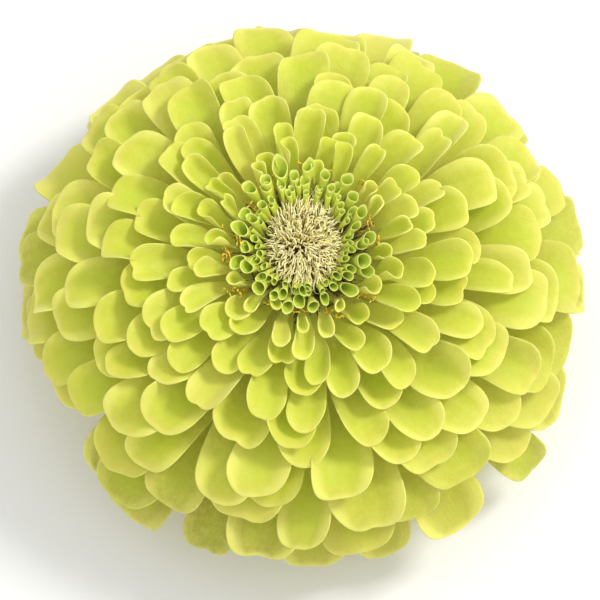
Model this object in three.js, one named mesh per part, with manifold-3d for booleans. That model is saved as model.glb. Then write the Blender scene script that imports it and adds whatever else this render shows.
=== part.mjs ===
// A double zinnia bloom, picked just under its head and resting face up on a surface.
// Millimetres, +Z up along the bloom's axis. The origin is the middle of the stalk's cut end.
import * as THREE from "three";
import { mergeVertices } from "three/addons/utils/BufferGeometryUtils.js";
import Module from "manifold-3d";

// The whole bloom: a dome of petal tips, wider than it is high.
const bloomRadius = 49.5;
const widestHeight = 8.5;
const domeHeight = 33;
const domeSquareness = 0.87;
const tipAngleInside = 15;
const tipAngleOutside = 92;
const tipStart = 0.6;
const tipSpread = 1.1;

// The receptacle is the blunt cone that every petal grows from.
const receptacleTopRadius = 8;
const receptacleTopHeight = 34;
const receptacleFootRadius = 12;
const receptacleFootHeight = 13.4;
const receptacleSegments = 12;
const gap = 0.3;

// The open petals.
const petalCount = 216;
const goldenAngle = 180 * (3 - Math.sqrt(5));
const petalThickness = 0.65;
const petalWidthInside = 0.24;
const petalWidthOutside = 0.28;
const petalWidthGrowth = 4;
const petalRootDepth = 1.8;
const petalKeel = 0.5;
const petalRootInset = 0.6;
const petalRootLift = 1.4;
const clawShare = 0.17;
const clawGain = 0.3;
const clawSharpness = 4.2;
const broadestAt = 0.84;
const tipWidthShare = 0.42;
const rootRise = 72;
const rootFall = 75;
const rootSpread = 24;
const tipSlopeInside = 44;
const tipSlopeOutside = -50;
const rootHandle = 0.42;
const tipHandle = 0.38;
const cupInside = 1.6;
const cupOutside = 0.3;
const cupFading = 5;
const hiddenCupInside = 0.6;
const hiddenCupOutside = 0.3;

// The young petals, still rolled into little cups round the disc.
const youngCount = 62;
const youngSides = 5;
const youngWall = 0.6;
const mouthPlaceInside = 7.9;
const mouthPlaceOutside = 12.2;
const mouthHeightInside = 39.4;
const mouthHeightOutside = 41;
const mouthRadiusInside = 0.85;
const mouthRadiusOutside = 1.5;
const mouthStretch = 1.14;
const mouthSlant = 0.25;
const cupRootInside = 5.6;
const cupRootOutside = 6.9;
const cupFloorAt = 0.45;
const ringRadius = 7.4;
const ringEdge = 0.9;
const ringTop = 1.6;
const ringSegments = 20;

// The disc of pale bristles.
const bristleCount = 60;
const discRadius = 4.6;
const discRise = 2.4;
const discSegments = 18;
const discSteps = 4;
const bristleRootSpread = 0.7;
const bristleRadius = 0.4;
const bristleRootDepth = 1.3;
const bristleTopHeight = 39.4;
const bristleEdgeDrop = 2.4;
const bristleSpread = 7.3;
const bristleStretch = 1.28;
const whorl = [1, -1.3];

// The cup of green bracts under the petals, and the cut stalk.
const bractRows = 3;
const bractsInRow = 9;
const bractAngleInside = 21;
const bractAngleOutside = 17.5;
const bractStations = [
  { s: 0, width: 0.7, lift: 0.1 },
  { s: 0.62, width: 1, lift: 0.5 },
  { s: 1, width: 0.5, lift: 0.7 },
];
const bractSink = 0.45;
const bractHollow = 0.25;
const bractKeel = 0.3;
const cupFootHeight = 4.6;
const cupSegments = 18;
const cupSteps = 4;
const stalkSegments = 18;
const stalkRadius = 2.8;
const stalkTopRadius = 3.9;

// Cups and bristles are drawn in towards the axis by small steps until nothing crosses them.
const pullStep = 0.12;
const mostPulls = 12;
const bristlePull = 3;
const clearance = 0.15;

// Natural unevenness: each kind has its own draw and the most that it adds or takes away.
const uneven = {
  petalDroop: [1, 4],
  petalLength: [52, 1],
  petalAround: [3, 1.5],
  petalWidth: [4, 0.15],
  petalCup: [5, 0.15],
  petalYaw: [6, 2],
  petalRoll: [7, 2],
  cupAround: [11, 3],
  cupPlace: [12, 0.3],
  cupHeight: [13, 0.5],
  bristleWaist: [21, 0.3],
  bristlePlace: [22, 0.3],
  bristleSide: [23, 0.7],
  bristleHeight: [24, 0.6],
};
const petalLengthInside = 1.2;
const petalLengthOutside = 2;

const wasm = await Module();
wasm.setup();

const degrees = (angle) => (angle * Math.PI) / 180;
const mix = (a, b, share) => a + (b - a) * share;

// The same value comes out every time for the same piece and the same kind of unevenness.
function vary(piece, [draw, size]) {
  const x = Math.sin(piece * 12.9898 + draw * 78.233) * 43758.5453;
  return (2 * (x - Math.floor(x)) - 1) * size;
}

// A point in the plane of one petal's midrib: x is the distance from the axis, y the height.
const heading = (angle) => new THREE.Vector2(Math.cos(degrees(angle)), Math.sin(degrees(angle)));

function tipOnDome(share) {
  const reached = share * mix(tipStart, 1, Math.pow(share, tipSpread));
  const angle = degrees(mix(tipAngleInside, tipAngleOutside, reached));
  const across = Math.pow(Math.abs(Math.sin(angle)), domeSquareness);
  const up = Math.sign(Math.cos(angle)) * Math.pow(Math.abs(Math.cos(angle)), domeSquareness);
  return new THREE.Vector2(bloomRadius * across, widestHeight + domeHeight * up);
}

// The midrib of petal number k leaves the receptacle and arches out to its tip on the dome.
function midribOf(k) {
  const share = k / (petalCount - 1);
  const root = new THREE.Vector2(
    mix(receptacleTopRadius, receptacleFootRadius, share),
    mix(receptacleTopHeight - petalRootInset, receptacleFootHeight + petalRootLift, Math.pow(share, 0.9)),
  );
  const rise = rootRise - rootFall * Math.pow(share, 0.75) - rootSpread * Math.pow(1 - share, 8);
  const droop = mix(tipSlopeInside, tipSlopeOutside, Math.pow(share, 0.7)) + vary(k, uneven.petalDroop);
  const longer = mix(petalLengthInside, petalLengthOutside, share) * vary(k, uneven.petalLength);
  const tip = tipOnDome(share).addScaledVector(heading(droop), longer);
  const span = root.distanceTo(tip);
  return new THREE.CubicBezierCurve(
    root.clone().addScaledVector(heading(rise), -petalRootDepth),
    root.clone().addScaledVector(heading(rise), rootHandle * span),
    tip.clone().addScaledVector(heading(droop), -tipHandle * span),
    tip,
  );
}

// Half the petal's width at a station along it, as a share of its greatest half width.
function widthShare(s) {
  if (s < broadestAt) {
    const turn = (Math.PI / 2) * (s / broadestAt);
    return mix(clawShare, 1, Math.pow(Math.sin(turn), clawSharpness));
  }
  const past = (s - broadestAt) / (1 - broadestAt);
  return mix(tipWidthShare, 1, Math.sqrt(1 - past * past));
}

// Rows of points from root to tip, each with the upper and lower face's points from left to right.
function petalRows(k, stations) {
  const share = k / (petalCount - 1);
  const midrib = midribOf(k);
  const around = degrees(goldenAngle * (k + youngCount) + vary(k, uneven.petalAround));
  const widthPerRadius = mix(petalWidthInside, petalWidthOutside, Math.pow(share, petalWidthGrowth));
  const halfWidth = 0.5 * widthPerRadius * tipOnDome(share).x * (1 + vary(k, uneven.petalWidth));
  const cup = mix(cupOutside, cupInside, Math.pow(1 - share, cupFading)) * (1 + vary(k, uneven.petalCup));
  const hiddenCup = mix(hiddenCupInside, hiddenCupOutside, share);
  const yaw = degrees(vary(k, uneven.petalYaw));
  const roll = Math.tan(degrees(vary(k, uneven.petalRoll)));
  const showsFrom = mix(0.3, 0.6, Math.sqrt(share));
  const showsTo = mix(0.75, 0.93, Math.sqrt(share));
  return stations.map((s) => {
    const place = midrib.getPoint(s);
    const along = midrib.getTangent(s);
    const up = new THREE.Vector2(-along.y, along.x);
    const gain = 1 + clawGain * share * (1 - THREE.MathUtils.smoothstep(s, 0.3, broadestAt));
    const reach = halfWidth * gain * widthShare(s);
    const shown = THREE.MathUtils.smoothstep(s, showsFrom, showsTo);
    const fold = cup * mix(hiddenCup, 1, shown);
    return [-1, 0, 1].map((side) => {
      const bend = fold * side;
      const across = (reach / fold) * Math.sin(bend);
      const lift = (reach / fold) * (1 - Math.cos(bend)) + across * roll * shown;
      const face = (half) => {
        const off = lift + half * Math.cos(bend);
        const at = place.clone().addScaledVector(up, off);
        const turn = around + yaw * s * s + (across - half * Math.sin(bend)) / Math.max(place.x, 5);
        return [at.x * Math.cos(turn), at.x * Math.sin(turn), at.y];
      };
      return { upper: face(petalThickness / 2), lower: face(-petalThickness / 2) };
    });
  });
}

// A closed blade from rows of upper and lower points, both faces split along the same diagonals.
// Its first row is drawn together into a three-cornered root with a keel below.
function bladeSolid(rows, keelDepth) {
  const points = [];
  const triangles = [];
  const quad = (a, b, c, d) => triangles.push(a, b, c, a, c, d);
  const halfway = (a, b) => a.map((value, axis) => (value + b[axis]) / 2);
  const [left, middle, right] = rows[0];
  const deeper = keelDepth / bladeDepth(middle);
  const keel = middle.lower.map((value, axis) => value + deeper * (value - middle.upper[axis]));
  points.push(...halfway(left.upper, left.lower), ...halfway(right.upper, right.lower), ...keel);
  rows.slice(1).forEach((row) => row.forEach((p) => points.push(...p.upper, ...p.lower)));
  const upper = (i, j) => 3 + 2 * (3 * (i - 1) + j);
  const lower = (i, j) => upper(i, j) + 1;
  triangles.push(0, upper(1, 0), upper(1, 1), 0, upper(1, 1), 1, 1, upper(1, 1), upper(1, 2));
  triangles.push(0, lower(1, 0), upper(1, 0), 1, upper(1, 2), lower(1, 2), 0, 1, 2);
  triangles.push(0, 2, lower(1, 1), 0, lower(1, 1), lower(1, 0));
  triangles.push(2, 1, lower(1, 2), 2, lower(1, 2), lower(1, 1));
  const last = rows.length - 1;
  for (let i = 1; i < last; i += 1) {
    for (let j = 0; j < 2; j += 1) {
      quad(upper(i, j), upper(i + 1, j), upper(i + 1, j + 1), upper(i, j + 1));
      triangles.push(lower(i, j), lower(i + 1, j + 1), lower(i + 1, j));
      triangles.push(lower(i, j), lower(i, j + 1), lower(i + 1, j + 1));
    }
    quad(upper(i, 0), lower(i, 0), lower(i + 1, 0), upper(i + 1, 0));
    quad(upper(i + 1, 2), lower(i + 1, 2), lower(i, 2), upper(i, 2));
  }
  for (let j = 0; j < 2; j += 1) quad(upper(last, j), lower(last, j), lower(last, j + 1), upper(last, j + 1));
  return solidFrom(new Float32Array(points), new Uint32Array(triangles));
}

const bladeDepth = ({ upper, lower }) => Math.hypot(...upper.map((value, axis) => value - lower[axis]));

function solidFrom(vertProperties, triVerts) {
  const solid = new wasm.Manifold(new wasm.Mesh({ numProp: 3, vertProperties, triVerts }));
  if (solid.volume() > 0) return solid;
  const flipped = triVerts.slice();
  for (let i = 0; i < flipped.length; i += 3) {
    flipped[i + 1] = triVerts[i + 2];
    flipped[i + 2] = triVerts[i + 1];
  }
  return new wasm.Manifold(new wasm.Mesh({ numProp: 3, vertProperties, triVerts: flipped }));
}

function solidOf(geometry) {
  geometry.deleteAttribute("normal");
  geometry.deleteAttribute("uv");
  const merged = mergeVertices(geometry, 1e-4);
  return solidFrom(merged.attributes.position.array, new Uint32Array(merged.index.array));
}

// A turned body about +Z from [radius, height] points that start and end on the axis or close on themselves.
function turned(profile, segments) {
  const points = profile.map(([radius, height]) => new THREE.Vector2(radius, height));
  return solidOf(new THREE.LatheGeometry(points, segments).rotateX(Math.PI / 2));
}

function meshOf(name, solid, colour, roughness) {
  const made = solid.getMesh();
  const geometry = new THREE.BufferGeometry();
  geometry.setAttribute("position", new THREE.BufferAttribute(made.vertProperties, 3));
  geometry.setIndex(new THREE.BufferAttribute(made.triVerts, 1));
  const material = new THREE.MeshStandardMaterial({ color: colour, roughness, metalness: 0 });
  const mesh = new THREE.Mesh(geometry, material);
  mesh.name = name;
  return mesh;
}

// Longer petals are drawn in more rows.
const stationsOf = (k) => (k < 0.3 * petalCount ? [0, 0.7, 1] : [0, 0.45, 0.84, 1]);

function openPetals() {
  const solids = [
    turned(
      [
        [0, receptacleFootHeight],
        [receptacleFootRadius - 1, receptacleFootHeight],
        [receptacleFootRadius, receptacleFootHeight + 1],
        [receptacleTopRadius, receptacleTopHeight],
        [0, receptacleTopHeight],
      ],
      receptacleSegments,
    ),
  ];
  for (let k = 0; k < petalCount; k += 1) solids.push(bladeSolid(petalRows(k, stationsOf(k)), petalKeel));
  return wasm.Manifold.union(solids);
}

// Draws a small piece in towards the axis, step by step, until it stands clear of its neighbours.
function drawnClear(piece, neighbours) {
  for (let pull = 0; pull < mostPulls; pull += 1)
    if (piece(pull * pullStep, clearance).intersect(neighbours).isEmpty()) return piece(pull * pullStep, 0);
  return null;
}

// One rolled petal is a small blind cup, pointed at its root and open at its slanted mouth.
function youngCup(j, pull, extra) {
  const share = j / (youngCount - 1);
  const around = degrees(goldenAngle * j + vary(j, uneven.cupAround));
  const rootRadius = mix(cupRootInside, cupRootOutside, share);
  const mouthPlace = mix(mouthPlaceInside, mouthPlaceOutside, Math.pow(share, 1.2));
  const mouthOut = mouthPlace + vary(j, uneven.cupPlace) - pull;
  const mouthUp = mix(mouthHeightInside, mouthHeightOutside, Math.sqrt(share)) + vary(j, uneven.cupHeight);
  const mouthRadius = mix(mouthRadiusInside, mouthRadiusOutside, Math.pow(share, 1.5)) + extra;
  const outward = new THREE.Vector3(Math.cos(around), Math.sin(around), 0);
  const root = outward.clone().multiplyScalar(rootRadius).setZ(receptacleTopHeight + gap + 0.1);
  const mouth = outward.clone().multiplyScalar(mouthOut).setZ(mouthUp);
  mouth.y *= mouthStretch;
  const axis = mouth.clone().sub(root).normalize();
  const side = new THREE.Vector3(-Math.sin(around), Math.cos(around), 0);
  const front = new THREE.Vector3().crossVectors(side, axis);
  const ring = (radius) =>
    Array.from({ length: youngSides }, (_, i) => {
      const turn = (2 * Math.PI * i) / youngSides;
      return mouth
        .clone()
        .addScaledVector(side, radius * Math.sin(turn))
        .addScaledVector(front, radius * Math.cos(turn))
        .addScaledVector(axis, mouthSlant * radius * Math.cos(turn));
    });
  const floor = root.clone().lerp(mouth, cupFloorAt);
  const rim = [...ring(mouthRadius), ...ring(mouthRadius - Math.min(youngWall, 0.55 * mouthRadius))];
  const points = [...rim, root, floor].flatMap((p) => [p.x, p.y, p.z]);
  const [rootAt, floorAt] = [2 * youngSides, 2 * youngSides + 1];
  const triangles = Array.from({ length: youngSides }, (_, i) => {
    const next = (i + 1) % youngSides;
    const [innerHere, innerNext] = [i + youngSides, next + youngSides];
    return [rootAt, next, i, i, next, innerNext, i, innerNext, innerHere, innerHere, innerNext, floorAt];
  });
  return solidFrom(new Float32Array(points), new Uint32Array(triangles.flat()));
}

function youngPetals(open) {
  const foot = receptacleTopHeight + gap;
  const ring = turned(
    [
      [discRadius + gap, foot],
      [ringRadius, foot],
      [ringRadius, foot + ringEdge],
      [discRadius + gap, foot + ringTop],
      [discRadius + gap, foot],
    ],
    ringSegments,
  );
  const cups = Array.from({ length: youngCount }, (_, j) =>
    drawnClear((pull, extra) => youngCup(j, pull, extra), open),
  );
  return wasm.Manifold.union([ring, ...cups.filter((cup) => cup)]);
}

// A bristle is a bent three-sided spindle, rooted in the dome and leaning outwards more towards its edge.
function bristle(i, pull, extra) {
  const share = Math.sqrt((i + 0.5) / bristleCount);
  const around = degrees(goldenAngle * i);
  const foot = receptacleTopHeight + gap;
  const outward = new THREE.Vector3(Math.cos(around), Math.sin(around), 0);
  const side = new THREE.Vector3(-Math.sin(around), Math.cos(around), 0);
  const root = outward
    .clone()
    .multiplyScalar(bristleRootSpread * discRadius * share)
    .setZ(foot + discRise * Math.cos((Math.PI / 2) * 0.8 * share) - bristleRootDepth);
  const tip = outward
    .clone()
    .multiplyScalar(bristleSpread * share + vary(i, uneven.bristlePlace) - pull * share)
    .addScaledVector(side, vary(i, uneven.bristleSide))
    .setZ(bristleTopHeight - bristleEdgeDrop * Math.pow(share, 3) + vary(i, uneven.bristleHeight));
  tip.x += whorl[0] * (1 - share);
  tip.y = tip.y * bristleStretch + whorl[1] * (1 - share);
  const waist = root.clone().lerp(tip, 0.5).addScaledVector(side, vary(i, uneven.bristleWaist));
  const ring = [0, 1, 2].map((n) => {
    const turn = around + (2 * Math.PI * n) / 3;
    const corner = new THREE.Vector3(Math.cos(turn), Math.sin(turn), 0);
    return corner.multiplyScalar(bristleRadius + extra).add(waist);
  });
  const points = [root, ...ring, tip].flatMap((p) => [p.x, p.y, p.z]);
  const triangles = [0, 2, 1, 0, 3, 2, 0, 1, 3, 4, 1, 2, 4, 2, 3, 4, 3, 1];
  return solidFrom(new Float32Array(points), new Uint32Array(triangles));
}

function disc(young) {
  const foot = receptacleTopHeight + gap;
  const profile = [[0, foot]];
  for (let n = discSteps; n >= 0; n -= 1) {
    const turn = degrees((90 / discSteps) * n);
    profile.push([discRadius * Math.sin(turn), foot + 0.01 + discRise * Math.cos(turn)]);
  }
  const dome = turned(profile, discSegments);
  const bristles = Array.from({ length: bristleCount }, (_, i) =>
    drawnClear((pull, extra) => bristle(i, bristlePull * pull, extra), young),
  );
  return wasm.Manifold.union([dome, ...bristles.filter((one) => one)]);
}

// The cup's side, from the stalk up to just under the lowest petals.
function cupSide(share) {
  const angle = degrees(mix(12, 86, share));
  const top = receptacleFootHeight - gap;
  return new THREE.Vector2(
    mix(stalkTopRadius - 1.4, receptacleFootRadius + 0.3, Math.sin(angle)),
    mix(top, cupFootHeight, Math.cos(angle)),
  );
}

// One bract hugs the cup and ends in a blunt, slightly lifted tip.
function bract(row, n) {
  const rowShare = row / (bractRows - 1);
  const start = mix(0.02, 0.5, rowShare);
  const end = mix(0.42, 1, rowShare);
  const around = degrees((360 / bractsInRow) * (n + 0.5 * row));
  const halfWidth = degrees(mix(bractAngleInside, bractAngleOutside, rowShare));
  const rows = bractStations.map(({ s, width, lift }) => {
    const share = mix(start, end, s);
    const place = cupSide(share);
    const along = cupSide(Math.min(share + 0.01, 1)).sub(cupSide(Math.min(share + 0.01, 1) - 0.01));
    const out = new THREE.Vector2(along.y, -along.x).normalize();
    return [-1, 0, 1].map((side) => {
      const turn = around + halfWidth * width * side;
      const face = (off) => {
        const at = place.clone().addScaledVector(out, off);
        return [at.x * Math.cos(turn), at.x * Math.sin(turn), at.y];
      };
      return { upper: face(lift - bractHollow * Math.abs(side)), lower: face(-bractSink) };
    });
  });
  return bladeSolid(rows, bractKeel);
}

function bractCup() {
  const profile = [[0, cupFootHeight + 0.01]];
  for (let n = 0; n <= cupSteps; n += 1) {
    const place = cupSide(n / cupSteps);
    profile.push([place.x, place.y]);
  }
  profile.push([0, receptacleFootHeight - gap]);
  const solids = [turned(profile, cupSegments)];
  for (let row = 0; row < bractRows; row += 1)
    for (let n = 0; n < bractsInRow; n += 1) solids.push(bract(row, n));
  return wasm.Manifold.union(solids);
}

function stalk() {
  const top = cupFootHeight - gap;
  return turned(
    [
      [0, 0],
      [stalkRadius, 0],
      [stalkRadius, 0.45 * top],
      [stalkTopRadius - 1, top],
      [0, top],
    ],
    stalkSegments,
  );
}

const open = openPetals();
const young = youngPetals(open);
const bloom = new THREE.Group();
bloom.name = "zinnia_bloom";
bloom.add(
  meshOf("ray_petals", open, 0xd2d552, 0.6),
  meshOf("young_petals", young, 0xa4c23a, 0.55),
  meshOf("disc_bristles", disc(young), 0xe2d9a0, 0.7),
  meshOf("bract_cup", bractCup(), 0x6f8f35, 0.7),
  meshOf("stalk", stalk(), 0x8aa546, 0.6),
);

export default bloom;
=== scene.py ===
# The looks of a lime-green double zinnia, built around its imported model.
# Shapes are worked out in millimetres about the bloom's axis and stored in metres.
import math

import bpy
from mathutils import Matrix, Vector
from mathutils.bvhtree import BVHTree


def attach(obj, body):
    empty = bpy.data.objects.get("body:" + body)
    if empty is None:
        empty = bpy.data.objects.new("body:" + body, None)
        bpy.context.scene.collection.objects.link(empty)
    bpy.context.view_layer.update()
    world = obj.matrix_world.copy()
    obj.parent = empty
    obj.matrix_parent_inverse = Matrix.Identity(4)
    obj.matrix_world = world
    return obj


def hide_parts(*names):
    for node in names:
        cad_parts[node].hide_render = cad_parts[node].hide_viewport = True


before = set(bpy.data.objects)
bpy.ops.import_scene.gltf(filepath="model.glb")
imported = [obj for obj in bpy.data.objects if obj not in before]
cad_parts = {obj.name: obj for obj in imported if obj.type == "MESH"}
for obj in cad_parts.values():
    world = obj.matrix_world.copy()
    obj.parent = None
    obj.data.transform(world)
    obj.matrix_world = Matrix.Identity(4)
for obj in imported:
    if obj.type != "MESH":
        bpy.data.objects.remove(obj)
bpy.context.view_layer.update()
millimetre = 0.001
goldenAngle = 180 * (3 - math.sqrt(5))
straightUp = Vector((0, 0, 1))


def mix(a, b, share):
    return a + (b - a) * share


def smooth(x, low, high):
    share = min(max((x - low) / (high - low), 0.0), 1.0)
    return share * share * (3 - 2 * share)


def chance(piece, question):  # the same draw every time for the same piece and question
    x = math.sin(piece * 12.9898 + question * 78.233) * 43758.5453
    return x - math.floor(x)


def jitter(piece, question, size):
    return (2 * chance(piece, question) - 1) * size


def heading(angle):  # in the plane of a midrib: x away from the axis, y up
    return Vector((math.cos(math.radians(angle)), math.sin(math.radians(angle))))


def aroundAxis(place, turn):
    return Vector((place[0] * math.cos(turn), place[0] * math.sin(turn), place[1]))


def outward(turn):
    return Vector((math.cos(turn), math.sin(turn), 0))


def sideward(turn):
    return Vector((-math.sin(turn), math.cos(turn), 0))


# Camera and light
view = {
    "elevation": 70,
    "distance": 0.56,
    "fieldWidth": 0.1066,
    "aim": (-0.0005, 0, 0.0095),
    "sensorWidth": 36,
    "clipStart": 0.01,
}


def setCamera():
    tilt = math.radians(view["elevation"])
    back = Vector((0, -math.cos(tilt), math.sin(tilt)))
    camera = linkNew("camera", bpy.data.cameras.new("camera"))
    camera.data.sensor_width = view["sensorWidth"]
    camera.data.lens = view["sensorWidth"] * view["distance"] / view["fieldWidth"]
    camera.data.clip_start = view["clipStart"]
    camera.location = Vector(view["aim"]) + back * view["distance"]
    camera.rotation_euler = (math.pi / 2 - tilt, 0, 0)
    bpy.context.scene.camera = camera
    print("camera set")


studio = {
    "worldStrength": 0.83,
    "lamps": [
        {"place": (0.37, 0.14, 0.48), "size": 0.16, "watts": 1.98, "colour": (1.0, 0.985, 0.95)},
        {"place": (0.12, -0.24, 0.6), "size": 0.3, "watts": 0.12, "colour": (1.0, 1.0, 1.0)},
    ],
    "floorSize": 6,
    "floorColour": (0.93, 0.93, 0.9207),
    "floorRoughness": 0.9,
}


def setStudio():
    world = bpy.data.worlds.new("paleStudio")
    world.use_nodes = True
    backdrop = world.node_tree.nodes["Background"]
    backdrop.inputs["Color"].default_value = (1, 1, 1, 1)
    backdrop.inputs["Strength"].default_value = studio["worldStrength"]
    bpy.context.scene.world = world
    bpy.context.scene.view_settings.view_transform = "Standard"
    for number, lamp in enumerate(studio["lamps"]):
        light = bpy.data.lights.new(f"softLamp{number}", "AREA")
        light.size = lamp["size"]
        light.energy = lamp["watts"]
        light.color = lamp["colour"]
        holder = linkNew(f"softLamp{number}", light)
        holder.location = lamp["place"]
        holder.rotation_euler = (-Vector(lamp["place"])).to_track_quat("-Z", "Y").to_euler()
    selectOnly()
    bpy.ops.mesh.primitive_plane_add(size=studio["floorSize"])
    floor = nameActive("floor")
    paper = plainMaterial("palePaper", studio["floorColour"], studio["floorRoughness"])
    floor.data.materials.append(paper)
    print("studio lit")


# Modelling helpers
def linkNew(name, data):
    made = bpy.data.objects.new(name, data)
    bpy.context.scene.collection.objects.link(made)
    return made


def selectOnly(*pieces):  # the first becomes the active one; with none, all are deselected
    bpy.ops.object.select_all(action="DESELECT")
    for piece in reversed(pieces):
        piece.select_set(True)
        bpy.context.view_layer.objects.active = piece


def nameActive(name):
    made = bpy.context.object
    made.name = name
    made.data.name = name
    return made


def startEdit():
    bpy.ops.object.mode_set(mode="EDIT")


def endEdit():
    bpy.ops.object.mode_set(mode="OBJECT")


def editAll():
    startEdit()
    bpy.ops.mesh.select_mode(type="VERT")
    bpy.ops.mesh.select_all(action="SELECT")


def selectWhere(made, test):  # leaves the chosen vertices selected in edit mode
    bpy.ops.mesh.select_all(action="DESELECT")
    endEdit()
    for vertex in made.data.vertices:
        vertex.select = test(vertex.co)
    startEdit()


def sheetBlank(name, acrossFaces, alongFaces):  # x from -1 to 1 across, y from 0 to 1 along
    selectOnly()
    bpy.ops.mesh.primitive_grid_add(
        x_subdivisions=acrossFaces, y_subdivisions=alongFaces, size=2, calc_uvs=True
    )
    blank = nameActive(name)
    editAll()
    bpy.ops.transform.translate(value=(0, 1, 0))
    bpy.ops.transform.resize(value=(1, 0.5, 1), center_override=(0, 0, 0))
    endEdit()
    return blank


def turnBlank(name, sides, profile):  # a closed body grown ring by ring from (height, radius) pairs
    selectOnly()
    height, radius = profile[0]
    bpy.ops.mesh.primitive_circle_add(
        vertices=sides, radius=radius, location=(0, 0, height), fill_type="NGON", calc_uvs=False
    )
    blank = nameActive(name)
    bpy.ops.object.transform_apply()
    editAll()
    for nextHeight, nextRadius in profile[1:]:
        bpy.ops.mesh.extrude_region_move(TRANSFORM_OT_translate={"value": (0, 0, nextHeight - height)})
        widen = nextRadius / radius
        bpy.ops.transform.resize(value=(widen, widen, 1), center_override=(0, 0, nextHeight))
        height, radius = nextHeight, nextRadius
    bpy.ops.mesh.select_all(action="SELECT")
    bpy.ops.mesh.normals_make_consistent(inside=False)
    endEdit()
    return blank


def fillNumber(mesh, name, values):
    mesh.attributes.new(name, "FLOAT", "POINT").data.foreach_set("value", values)


def bendCopy(blank, name, lay, **numbers):  # lay gives a blank's vertex its place in millimetres
    made = linkNew(name, blank.data.copy())
    for vertex in made.data.vertices:
        vertex.co = lay(vertex.co.copy()) * millimetre
    for label, value in numbers.items():
        fillNumber(made.data, label, [value] * len(made.data.vertices))
    return made


def dropBlank(blank):
    mesh = blank.data
    bpy.data.objects.remove(blank)
    bpy.data.meshes.remove(mesh)


def turnedPiece(name, sides, profile, lay=lambda point: point):
    blank = turnBlank(f"{name}Blank", sides, profile)
    made = bendCopy(blank, name, lay)
    dropBlank(blank)
    return made


def joinCopies(copies, name):
    selectOnly(*copies)
    bpy.ops.object.join()
    return nameActive(name)


def useModifier(made, kind, **settings):
    selectOnly(made)
    modifier = made.modifiers.new(kind.lower(), kind)
    for label, value in settings.items():
        setattr(modifier, label, value)
    bpy.ops.object.modifier_apply(modifier=modifier.name)


def refine(made):
    useModifier(made, "SUBSURF", levels=1, render_levels=1)


def finishPiece(made, node, *materials):
    made.data.polygons.foreach_set("use_smooth", [True] * len(made.data.polygons))
    for material in materials:
        made.data.materials.append(material)
    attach(made, "root")
    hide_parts(node)
    print(f"{made.name}: {len(made.data.polygons)} faces")


# Material helpers
def plainMaterial(name, colour, roughness):
    material = bpy.data.materials.new(name)
    material.use_nodes = True
    shader = material.node_tree.nodes["Principled BSDF"]
    shader.inputs["Base Color"].default_value = (*colour, 1)
    shader.inputs["Roughness"].default_value = roughness
    return material


class Nodes:  # a short way to add nodes and wire them
    softSpecular = 0.3

    def __init__(self, name, roughness, sheen=0.0):
        self.material = bpy.data.materials.new(name)
        self.material.use_nodes = True
        self.tree = self.material.node_tree
        self.shader = self.tree.nodes["Principled BSDF"]
        self.give("Roughness", roughness)
        self.give("Specular IOR Level", self.softSpecular)
        self.give("Sheen Weight", sheen)

    def add(self, kind, **settings):
        node = self.tree.nodes.new(kind)
        for label, value in settings.items():
            setattr(node, label, value)
        return node

    def wire(self, source, socket):
        if hasattr(source, "is_output"):
            self.tree.links.new(source, socket)
        else:
            socket.default_value = source

    def give(self, label, source):  # to a socket of the shader itself
        self.wire(source, self.shader.inputs[label])

    def maths(self, operation, first, second=0.0):
        node = self.add("ShaderNodeMath", operation=operation)
        self.wire(first, node.inputs[0])
        self.wire(second, node.inputs[1])
        return node.outputs[0]

    def times(self, product, *others):
        for other in others:
            product = self.maths("MULTIPLY", product, other)
        return product

    def ramp(self, value, low, high, out=(0.0, 1.0)):
        node = self.add("ShaderNodeMapRange", interpolation_type="SMOOTHSTEP")
        self.wire(value, node.inputs["Value"])
        for label, limit in zip(("From Min", "From Max", "To Min", "To Max"), (low, high, *out)):
            node.inputs[label].default_value = limit
        return node.outputs["Result"]

    def blend(self, share, first, second):
        node = self.add("ShaderNodeMix", data_type="RGBA", blend_type="MIX")
        self.wire(share, node.inputs["Factor"])
        for label, tint in (("A", first), ("B", second)):
            self.wire(tint if hasattr(tint, "is_output") else (*tint, 1), node.inputs[label])
        return node.outputs["Result"]

    def number(self, name):
        return self.add("ShaderNodeAttribute", attribute_name=name).outputs["Fac"]

    def redraw(self, tone, factor):  # a new draw from the piece's tone
        return self.maths("FRACT", self.times(tone, factor))

    def place(self):
        return self.add("ShaderNodeTexCoord").outputs["Object"]

    def split(self, place):
        node = self.add("ShaderNodeSeparateXYZ")
        self.wire(place, node.inputs[0])
        return node.outputs

    def across(self):  # the piece's own pattern map: u across it, v along it
        u, v, _ = self.split(self.add("ShaderNodeUVMap", uv_map="UVMap").outputs["UV"])
        return u, v

    def fromMidrib(self, u):  # 0 on the midrib, 1 at both edges
        return self.times(self.maths("ABSOLUTE", self.maths("SUBTRACT", u, 0.5)), 2.0)

    def noise(self, scale, detail=2.0, place=None):
        node = self.add("ShaderNodeTexNoise")
        self.wire(self.place() if place is None else place, node.inputs["Vector"])
        node.inputs["Scale"].default_value = scale
        node.inputs["Detail"].default_value = detail
        return node.outputs["Fac"]

    def fibres(self, places, scales):  # noise with a scale for each direction
        node = self.add("ShaderNodeCombineXYZ")
        for place, scale, socket in zip(places, scales, node.inputs):
            self.wire(self.times(place, scale), socket)
        return self.noise(1.0, place=node.outputs[0])

    def paintedGlow(self, colour, strength):  # painted glow: emission that stands in for light coming through thin tissue and lightens the shaded pockets
        self.give("Emission Color", colour)
        self.give("Emission Strength", strength)

    def finish(self, colour, height=None, distance=0.0002, strength=0.4):
        self.give("Base Color", colour)
        if height is not None:
            bump = self.add("ShaderNodeBump")
            for label, source in (("Strength", strength), ("Distance", distance), ("Height", height)):
                self.wire(source, bump.inputs[label])
            self.give("Normal", bump.outputs["Normal"])
        return self.material


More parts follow.
